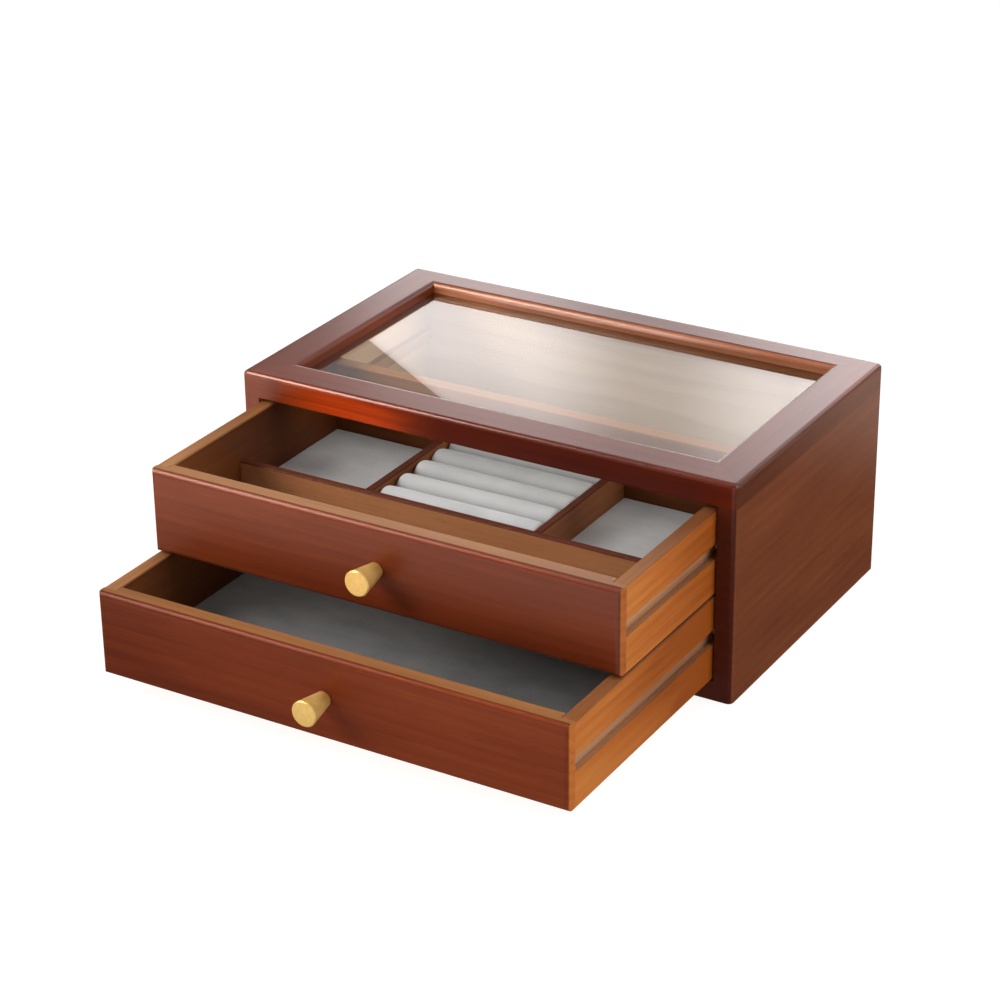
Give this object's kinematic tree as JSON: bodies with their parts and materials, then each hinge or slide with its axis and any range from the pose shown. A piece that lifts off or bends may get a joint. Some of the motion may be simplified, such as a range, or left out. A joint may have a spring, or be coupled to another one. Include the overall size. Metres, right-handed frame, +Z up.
{
  "type": "ring box with drawers",
  "caption": "Table-top ring box: a wooden case with a glazed top over two knobbed drawers on side runners, the upper one divided and fitted with velvet ring rolls.",
  "frame": {"origin": "middle of the case's underside", "axes": "+Z up, +Y to the back, so the drawers open towards -Y; seen from the front, +X is to the right"},
  "size_m": [0.3, 0.348, 0.125],
  "materials": {
    "stained_wood": "red-brown stain under satin lacquer",
    "drawer_wood": "honey-coloured satin lacquer",
    "drawer_bottom": "thin plywood, matt",
    "plain_wood": "unstained hardwood, waxed",
    "glass": "clear float glass",
    "knob_brass": "brushed, satin",
    "screw_steel": "zinc plated",
    "felt": "grey felt",
    "card": "stiff card under grey velvet",
    "velvet": "grey velvet over foam"
  },
  "bodies": {
    "case": {"back_panel": "stained_wood", "bottom_panel": "stained_wood", "frame_dowels": "plain_wood", "glass_bead_back": "stained_wood", "glass_bead_front": "stained_wood", "glass_bead_left": "stained_wood", "glass_bead_right": "stained_wood", "glass_pane": "glass", "left_side_panel": "stained_wood", "lower_left_runner": "plain_wood", "lower_right_runner": "plain_wood", "right_side_panel": "stained_wood", "top_back_rail": "stained_wood", "top_front_rail": "stained_wood", "top_left_rail": "stained_wood", "top_right_rail": "stained_wood", "upper_left_runner": "plain_wood", "upper_right_runner": "plain_wood"},
    "upper_drawer": {"front_felt": "felt", "left_felt": "felt", "left_partition": "drawer_wood", "long_divider": "drawer_wood", "right_felt": "felt", "right_partition": "drawer_wood", "ring_card": "card", "ring_roll_1": "velvet", "ring_roll_2": "velvet", "ring_roll_3": "velvet", "ring_roll_4": "velvet", "ring_roll_5": "velvet", "upper_back": "drawer_wood", "upper_bottom": "drawer_bottom", "upper_front": "stained_wood", "upper_knob": "knob_brass", "upper_knob_screw": "screw_steel", "upper_left_side": "drawer_wood", "upper_right_side": "drawer_wood"},
    "lower_drawer": {"lower_back": "drawer_wood", "lower_bottom": "drawer_bottom", "lower_felt": "felt", "lower_front": "stained_wood", "lower_knob": "knob_brass", "lower_knob_screw": "screw_steel", "lower_left_side": "drawer_wood", "lower_right_side": "drawer_wood"}
  },
  "joints": [
    {"name": "upper_slide", "type": "slide", "parent": "case", "child": "upper_drawer", "axis": [0, -1, 0], "range_m": [-0.1, 0.055]},
    {"name": "lower_slide", "type": "slide", "parent": "case", "child": "lower_drawer", "axis": [0, -1, 0], "range_m": [-0.15, 0.005]}
  ]
}
